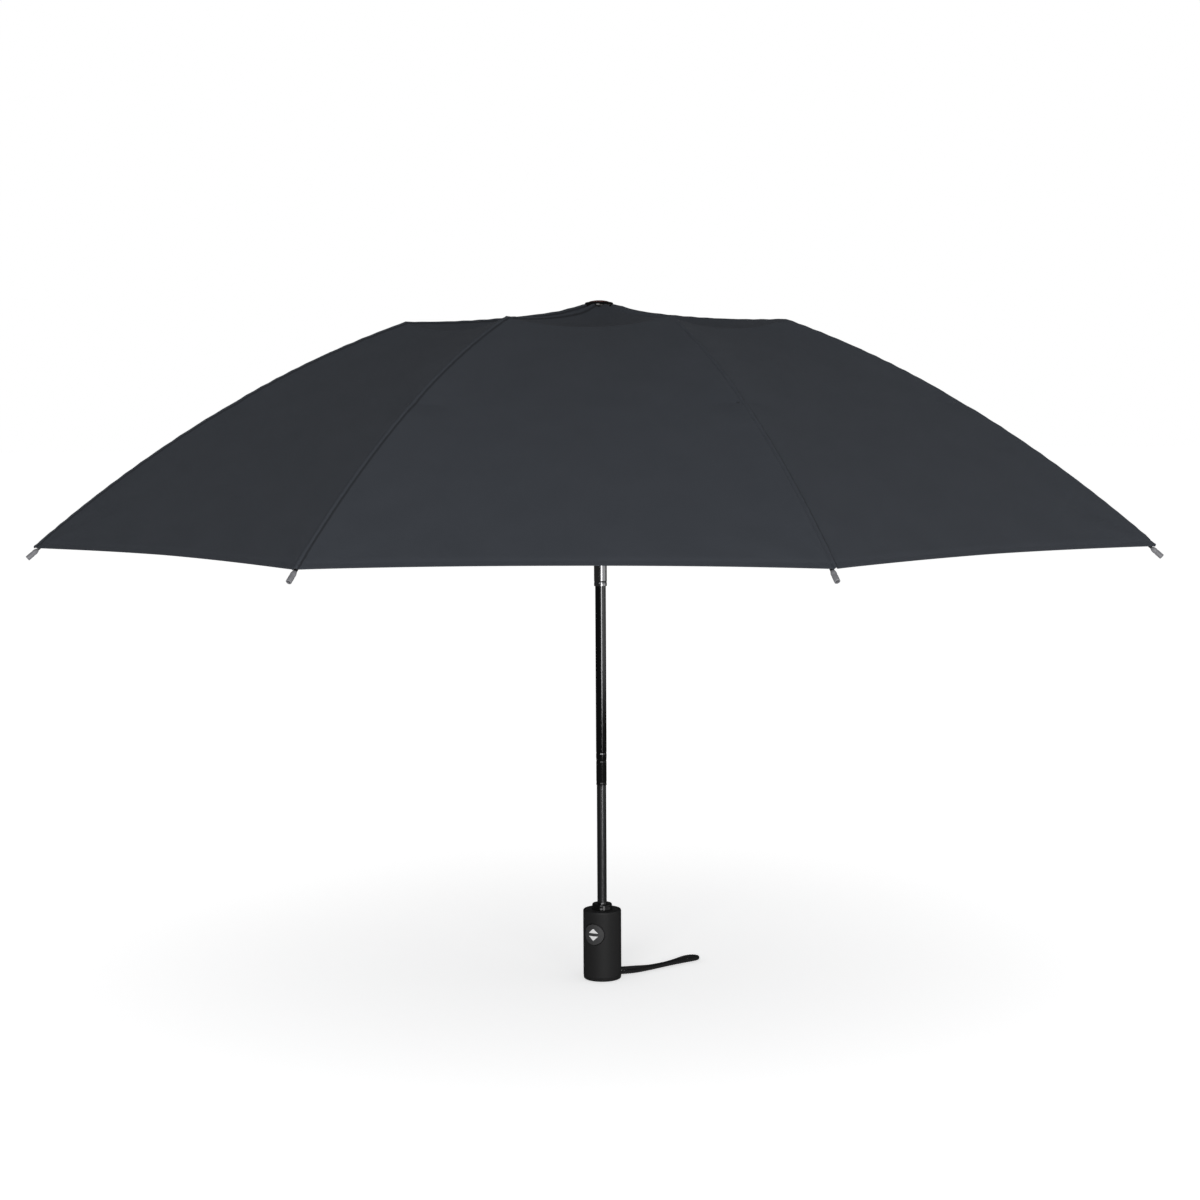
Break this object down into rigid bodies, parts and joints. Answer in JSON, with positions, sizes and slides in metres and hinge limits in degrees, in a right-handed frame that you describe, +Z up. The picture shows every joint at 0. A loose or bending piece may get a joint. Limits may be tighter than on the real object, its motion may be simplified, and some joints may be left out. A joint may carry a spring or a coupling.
{
  "type": "folding umbrella",
  "caption": "Open three-fold umbrella: dark pleat-free panel canopy on hinged ribs, telescopic shaft, push-button grip with wrist strap",
  "frame": {"origin": "centre of the handle's flat bottom face, on the shaft axis", "axes": "+Z up the shaft to the crown; -Y towards the viewer, the button faces -Y and a little -X; the wrist strap leaves towards +X"},
  "size_m": [0.9222, 0.9222, 0.594],
  "materials": {
    "handle_shell": "soft-touch matt black",
    "handle_base_cap": "matt black",
    "handle_core": "moulded",
    "handle_collar": "gloss black",
    "lower_tube": "dark nickel",
    "opening_spring": "spring wire",
    "wrist_strap": "braided polyester cord",
    "open_close_button": "fine grain",
    "button_spring": "spring wire",
    "middle_tube": "gloss black",
    "middle_tube_bush": "black",
    "upper_tube": "dark chrome",
    "upper_tube_bush": "black",
    "crown": "black",
    "crown_wire_ring": "wire",
    "crown_cap": "black with a dark disc",
    "crown_plug": "black",
    "canopy_panels": "tight plain weave",
    "runner": "black",
    "runner_wire_ring": "wire",
    "inner_rib_1": "black",
    "strut_1": "black",
    "middle_rib_1": "dark anodised",
    "outer_rib_1": "glass fibre",
    "rib_tip_1": "grey",
    "inner_rib_2": "black",
    "strut_2": "black",
    "middle_rib_2": "dark anodised",
    "outer_rib_2": "glass fibre",
    "rib_tip_2": "grey",
    "inner_rib_3": "black",
    "strut_3": "black",
    "middle_rib_3": "dark anodised",
    "outer_rib_3": "glass fibre",
    "rib_tip_3": "grey",
    "inner_rib_4": "black",
    "strut_4": "black",
    "middle_rib_4": "dark anodised",
    "outer_rib_4": "glass fibre",
    "rib_tip_4": "grey",
    "inner_rib_5": "black",
    "strut_5": "black",
    "middle_rib_5": "dark anodised",
    "outer_rib_5": "glass fibre",
    "rib_tip_5": "grey",
    "inner_rib_6": "black",
    "strut_6": "black",
    "middle_rib_6": "dark anodised",
    "outer_rib_6": "glass fibre",
    "rib_tip_6": "grey",
    "inner_rib_7": "black",
    "strut_7": "black",
    "middle_rib_7": "dark anodised",
    "outer_rib_7": "glass fibre",
    "rib_tip_7": "grey",
    "inner_rib_8": "black",
    "strut_8": "black",
    "middle_rib_8": "dark anodised",
    "outer_rib_8": "glass fibre",
    "rib_tip_8": "grey"
  },
  "bodies": {
    "handle": {"handle_shell": "handle_shell", "handle_base_cap": "handle_base_cap", "handle_core": "handle_core", "handle_collar": "handle_collar", "lower_tube": "lower_tube", "opening_spring": "opening_spring", "wrist_strap": "wrist_strap"},
    "button": {"open_close_button": "open_close_button", "button_spring": "button_spring"},
    "middle_shaft": {"middle_tube": "middle_tube", "middle_tube_bush": "middle_tube_bush"},
    "upper_shaft": {"upper_tube": "upper_tube", "upper_tube_bush": "upper_tube_bush", "crown": "crown", "crown_wire_ring": "crown_wire_ring", "crown_cap": "crown_cap", "crown_plug": "crown_plug", "canopy_panels": "canopy_panels"},
    "runner": {"runner": "runner", "runner_wire_ring": "runner_wire_ring"},
    "inner_rib_body_1": {"inner_rib_1": "inner_rib_1"},
    "strut_body_1": {"strut_1": "strut_1"},
    "middle_rib_body_1": {"middle_rib_1": "middle_rib_1"},
    "outer_rib_body_1": {"outer_rib_1": "outer_rib_1", "rib_tip_1": "rib_tip_1"},
    "inner_rib_body_2": {"inner_rib_2": "inner_rib_2"},
    "strut_body_2": {"strut_2": "strut_2"},
    "middle_rib_body_2": {"middle_rib_2": "middle_rib_2"},
    "outer_rib_body_2": {"outer_rib_2": "outer_rib_2", "rib_tip_2": "rib_tip_2"},
    "inner_rib_body_3": {"inner_rib_3": "inner_rib_3"},
    "strut_body_3": {"strut_3": "strut_3"},
    "middle_rib_body_3": {"middle_rib_3": "middle_rib_3"},
    "outer_rib_body_3": {"outer_rib_3": "outer_rib_3", "rib_tip_3": "rib_tip_3"},
    "inner_rib_body_4": {"inner_rib_4": "inner_rib_4"},
    "strut_body_4": {"strut_4": "strut_4"},
    "middle_rib_body_4": {"middle_rib_4": "middle_rib_4"},
    "outer_rib_body_4": {"outer_rib_4": "outer_rib_4", "rib_tip_4": "rib_tip_4"},
    "inner_rib_body_5": {"inner_rib_5": "inner_rib_5"},
    "strut_body_5": {"strut_5": "strut_5"},
    "middle_rib_body_5": {"middle_rib_5": "middle_rib_5"},
    "outer_rib_body_5": {"outer_rib_5": "outer_rib_5", "rib_tip_5": "rib_tip_5"},
    "inner_rib_body_6": {"inner_rib_6": "inner_rib_6"},
    "strut_body_6": {"strut_6": "strut_6"},
    "middle_rib_body_6": {"middle_rib_6": "middle_rib_6"},
    "outer_rib_body_6": {"outer_rib_6": "outer_rib_6", "rib_tip_6": "rib_tip_6"},
    "inner_rib_body_7": {"inner_rib_7": "inner_rib_7"},
    "strut_body_7": {"strut_7": "strut_7"},
    "middle_rib_body_7": {"middle_rib_7": "middle_rib_7"},
    "outer_rib_body_7": {"outer_rib_7": "outer_rib_7", "rib_tip_7": "rib_tip_7"},
    "inner_rib_body_8": {"inner_rib_8": "inner_rib_8"},
    "strut_body_8": {"strut_8": "strut_8"},
    "middle_rib_body_8": {"middle_rib_8": "middle_rib_8"},
    "outer_rib_body_8": {"outer_rib_8": "outer_rib_8", "rib_tip_8": "rib_tip_8"}
  },
  "joints": [
    {"name": "middle_tube_slide", "type": "slide", "parent": "handle", "child": "middle_shaft", "axis": [0, 0, -1], "range_m": [0, 0.103], "stiffness_N_per_m": 100, "springref_m": -0.12},
    {"name": "upper_tube_slide", "type": "slide", "parent": "middle_shaft", "child": "upper_shaft", "axis": [0, 0, -1], "range_m": [0, 0.175], "stiffness_N_per_m": 80, "springref_m": -0.12},
    {"name": "runner_slide", "type": "slide", "parent": "upper_shaft", "child": "runner", "axis": [0, 0, -1], "range_m": [0, 0.155], "stiffness_N_per_m": 60, "springref_m": -0.12, "deforming": ["canopy_panels"]},
    {"name": "button_press", "type": "slide", "parent": "handle", "child": "button", "axis": [0.4617, 0.887, 0], "range_m": [0, 0.002], "stiffness_N_per_m": 1200, "springref_m": -0.001},
    {"name": "inner_rib_fold_1", "type": "hinge", "parent": "upper_shaft", "child": "inner_rib_body_1", "pos_m": [0.0029, -0.00852, 0.578], "axis": [0.9466, 0.3223, 0], "range_deg": [0, 85.05]},
    {"name": "middle_rib_fold_1", "type": "hinge", "parent": "inner_rib_body_1", "child": "middle_rib_body_1", "pos_m": [0.05543, -0.16282, 0.57], "axis": [-0.9466, -0.3223, 0], "range_deg": [0, 197.05]},
    {"name": "outer_rib_fold_1", "type": "hinge", "parent": "middle_rib_body_1", "child": "outer_rib_body_1", "pos_m": [0.10248, -0.30103, 0.5025], "axis": [0.9466, 0.3223, 0], "range_deg": [0, 167.55]},
    {"name": "strut_fold_1", "type": "hinge", "parent": "runner", "child": "strut_body_1", "pos_m": [0.0029, -0.00852, 0.52], "axis": [-0.9466, -0.3223, 0], "range_deg": [0, 60.05]},
    {"name": "inner_rib_fold_2", "type": "hinge", "parent": "upper_shaft", "child": "inner_rib_body_2", "pos_m": [0.00808, -0.00397, 0.578], "axis": [0.4415, 0.8973, 0], "range_deg": [0, 85.05]},
    {"name": "middle_rib_fold_2", "type": "hinge", "parent": "inner_rib_body_2", "child": "middle_rib_body_2", "pos_m": [0.15433, -0.07594, 0.57], "axis": [-0.4415, -0.8973, 0], "range_deg": [0, 197.05]},
    {"name": "outer_rib_fold_2", "type": "hinge", "parent": "middle_rib_body_2", "child": "outer_rib_body_2", "pos_m": [0.28533, -0.1404, 0.5025], "axis": [0.4415, 0.8973, 0], "range_deg": [0, 167.55]},
    {"name": "strut_fold_2", "type": "hinge", "parent": "runner", "child": "strut_body_2", "pos_m": [0.00808, -0.00397, 0.52], "axis": [-0.4415, -0.8973, 0], "range_deg": [0, 60.05]},
    {"name": "inner_rib_fold_3", "type": "hinge", "parent": "upper_shaft", "child": "inner_rib_body_3", "pos_m": [0.00852, 0.0029, 0.578], "axis": [-0.3223, 0.9466, 0], "range_deg": [0, 85.05]},
    {"name": "middle_rib_fold_3", "type": "hinge", "parent": "inner_rib_body_3", "child": "middle_rib_body_3", "pos_m": [0.16282, 0.05543, 0.57], "axis": [0.3223, -0.9466, 0], "range_deg": [0, 197.05]},
    {"name": "outer_rib_fold_3", "type": "hinge", "parent": "middle_rib_body_3", "child": "outer_rib_body_3", "pos_m": [0.30103, 0.10248, 0.5025], "axis": [-0.3223, 0.9466, 0], "range_deg": [0, 167.55]},
    {"name": "strut_fold_3", "type": "hinge", "parent": "runner", "child": "strut_body_3", "pos_m": [0.00852, 0.0029, 0.52], "axis": [0.3223, -0.9466, 0], "range_deg": [0, 60.05]},
    {"name": "inner_rib_fold_4", "type": "hinge", "parent": "upper_shaft", "child": "inner_rib_body_4", "pos_m": [0.00397, 0.00808, 0.578], "axis": [-0.8973, 0.4415, 0], "range_deg": [0, 85.05]},
    {"name": "middle_rib_fold_4", "type": "hinge", "parent": "inner_rib_body_4", "child": "middle_rib_body_4", "pos_m": [0.07594, 0.15433, 0.57], "axis": [0.8973, -0.4415, 0], "range_deg": [0, 197.05]},
    {"name": "outer_rib_fold_4", "type": "hinge", "parent": "middle_rib_body_4", "child": "outer_rib_body_4", "pos_m": [0.1404, 0.28533, 0.5025], "axis": [-0.8973, 0.4415, 0], "range_deg": [0, 167.55]},
    {"name": "strut_fold_4", "type": "hinge", "parent": "runner", "child": "strut_body_4", "pos_m": [0.00397, 0.00808, 0.52], "axis": [0.8973, -0.4415, 0], "range_deg": [0, 60.05]},
    {"name": "inner_rib_fold_5", "type": "hinge", "parent": "upper_shaft", "child": "inner_rib_body_5", "pos_m": [-0.0029, 0.00852, 0.578], "axis": [-0.9466, -0.3223, 0], "range_deg": [0, 85.05]},
    {"name": "middle_rib_fold_5", "type": "hinge", "parent": "inner_rib_body_5", "child": "middle_rib_body_5", "pos_m": [-0.05543, 0.16282, 0.57], "axis": [0.9466, 0.3223, 0], "range_deg": [0, 197.05]},
    {"name": "outer_rib_fold_5", "type": "hinge", "parent": "middle_rib_body_5", "child": "outer_rib_body_5", "pos_m": [-0.10248, 0.30103, 0.5025], "axis": [-0.9466, -0.3223, 0], "range_deg": [0, 167.55]},
    {"name": "strut_fold_5", "type": "hinge", "parent": "runner", "child": "strut_body_5", "pos_m": [-0.0029, 0.00852, 0.52], "axis": [0.9466, 0.3223, 0], "range_deg": [0, 60.05]},
    {"name": "inner_rib_fold_6", "type": "hinge", "parent": "upper_shaft", "child": "inner_rib_body_6", "pos_m": [-0.00808, 0.00397, 0.578], "axis": [-0.4415, -0.8973, 0], "range_deg": [0, 85.05]},
    {"name": "middle_rib_fold_6", "type": "hinge", "parent": "inner_rib_body_6", "child": "middle_rib_body_6", "pos_m": [-0.15433, 0.07594, 0.57], "axis": [0.4415, 0.8973, 0], "range_deg": [0, 197.05]},
    {"name": "outer_rib_fold_6", "type": "hinge", "parent": "middle_rib_body_6", "child": "outer_rib_body_6", "pos_m": [-0.28533, 0.1404, 0.5025], "axis": [-0.4415, -0.8973, 0], "range_deg": [0, 167.55]},
    {"name": "strut_fold_6", "type": "hinge", "parent": "runner", "child": "strut_body_6", "pos_m": [-0.00808, 0.00397, 0.52], "axis": [0.4415, 0.8973, 0], "range_deg": [0, 60.05]},
    {"name": "inner_rib_fold_7", "type": "hinge", "parent": "upper_shaft", "child": "inner_rib_body_7", "pos_m": [-0.00852, -0.0029, 0.578], "axis": [0.3223, -0.9466, 0], "range_deg": [0, 85.05]},
    {"name": "middle_rib_fold_7", "type": "hinge", "parent": "inner_rib_body_7", "child": "middle_rib_body_7", "pos_m": [-0.16282, -0.05543, 0.57], "axis": [-0.3223, 0.9466, 0], "range_deg": [0, 197.05]},
    {"name": "outer_rib_fold_7", "type": "hinge", "parent": "middle_rib_body_7", "child": "outer_rib_body_7", "pos_m": [-0.30103, -0.10248, 0.5025], "axis": [0.3223, -0.9466, 0], "range_deg": [0, 167.55]},
    {"name": "strut_fold_7", "type": "hinge", "parent": "runner", "child": "strut_body_7", "pos_m": [-0.00852, -0.0029, 0.52], "axis": [-0.3223, 0.9466, 0], "range_deg": [0, 60.05]},
    {"name": "inner_rib_fold_8", "type": "hinge", "parent": "upper_shaft", "child": "inner_rib_body_8", "pos_m": [-0.00397, -0.00808, 0.578], "axis": [0.8973, -0.4415, 0], "range_deg": [0, 85.05]},
    {"name": "middle_rib_fold_8", "type": "hinge", "parent": "inner_rib_body_8", "child": "middle_rib_body_8", "pos_m": [-0.07594, -0.15433, 0.57], "axis": [-0.8973, 0.4415, 0], "range_deg": [0, 197.05]},
    {"name": "outer_rib_fold_8", "type": "hinge", "parent": "middle_rib_body_8", "child": "outer_rib_body_8", "pos_m": [-0.1404, -0.28533, 0.5025], "axis": [0.8973, -0.4415, 0], "range_deg": [0, 167.55]},
    {"name": "strut_fold_8", "type": "hinge", "parent": "runner", "child": "strut_body_8", "pos_m": [-0.00397, -0.00808, 0.52], "axis": [-0.8973, 0.4415, 0], "range_deg": [0, 60.05]}
  ],
  "couplings": [
    {"joint": "inner_rib_fold_1", "follows": "runner_slide", "rad_per_m": 9.5712},
    {"joint": "middle_rib_fold_1", "follows": "runner_slide", "rad_per_m": 22.183},
    {"joint": "outer_rib_fold_1", "follows": "runner_slide", "rad_per_m": 18.861},
    {"joint": "strut_fold_1", "follows": "runner_slide", "rad_per_m": 6.7561},
    {"joint": "inner_rib_fold_2", "follows": "runner_slide", "rad_per_m": 9.5712},
    {"joint": "middle_rib_fold_2", "follows": "runner_slide", "rad_per_m": 22.183},
    {"joint": "outer_rib_fold_2", "follows": "runner_slide", "rad_per_m": 18.861},
    {"joint": "strut_fold_2", "follows": "runner_slide", "rad_per_m": 6.7561},
    {"joint": "inner_rib_fold_3", "follows": "runner_slide", "rad_per_m": 9.5712},
    {"joint": "middle_rib_fold_3", "follows": "runner_slide", "rad_per_m": 22.183},
    {"joint": "outer_rib_fold_3", "follows": "runner_slide", "rad_per_m": 18.861},
    {"joint": "strut_fold_3", "follows": "runner_slide", "rad_per_m": 6.7561},
    {"joint": "inner_rib_fold_4", "follows": "runner_slide", "rad_per_m": 9.5712},
    {"joint": "middle_rib_fold_4", "follows": "runner_slide", "rad_per_m": 22.183},
    {"joint": "outer_rib_fold_4", "follows": "runner_slide", "rad_per_m": 18.861},
    {"joint": "strut_fold_4", "follows": "runner_slide", "rad_per_m": 6.7561},
    {"joint": "inner_rib_fold_5", "follows": "runner_slide", "rad_per_m": 9.5712},
    {"joint": "middle_rib_fold_5", "follows": "runner_slide", "rad_per_m": 22.183},
    {"joint": "outer_rib_fold_5", "follows": "runner_slide", "rad_per_m": 18.861},
    {"joint": "strut_fold_5", "follows": "runner_slide", "rad_per_m": 6.7561},
    {"joint": "inner_rib_fold_6", "follows": "runner_slide", "rad_per_m": 9.5712},
    {"joint": "middle_rib_fold_6", "follows": "runner_slide", "rad_per_m": 22.183},
    {"joint": "outer_rib_fold_6", "follows": "runner_slide", "rad_per_m": 18.861},
    {"joint": "strut_fold_6", "follows": "runner_slide", "rad_per_m": 6.7561},
    {"joint": "inner_rib_fold_7", "follows": "runner_slide", "rad_per_m": 9.5712},
    {"joint": "middle_rib_fold_7", "follows": "runner_slide", "rad_per_m": 22.183},
    {"joint": "outer_rib_fold_7", "follows": "runner_slide", "rad_per_m": 18.861},
    {"joint": "strut_fold_7", "follows": "runner_slide", "rad_per_m": 6.7561},
    {"joint": "inner_rib_fold_8", "follows": "runner_slide", "rad_per_m": 9.5712},
    {"joint": "middle_rib_fold_8", "follows": "runner_slide", "rad_per_m": 22.183},
    {"joint": "outer_rib_fold_8", "follows": "runner_slide", "rad_per_m": 18.861},
    {"joint": "strut_fold_8", "follows": "runner_slide", "rad_per_m": 6.7561}
  ]
}
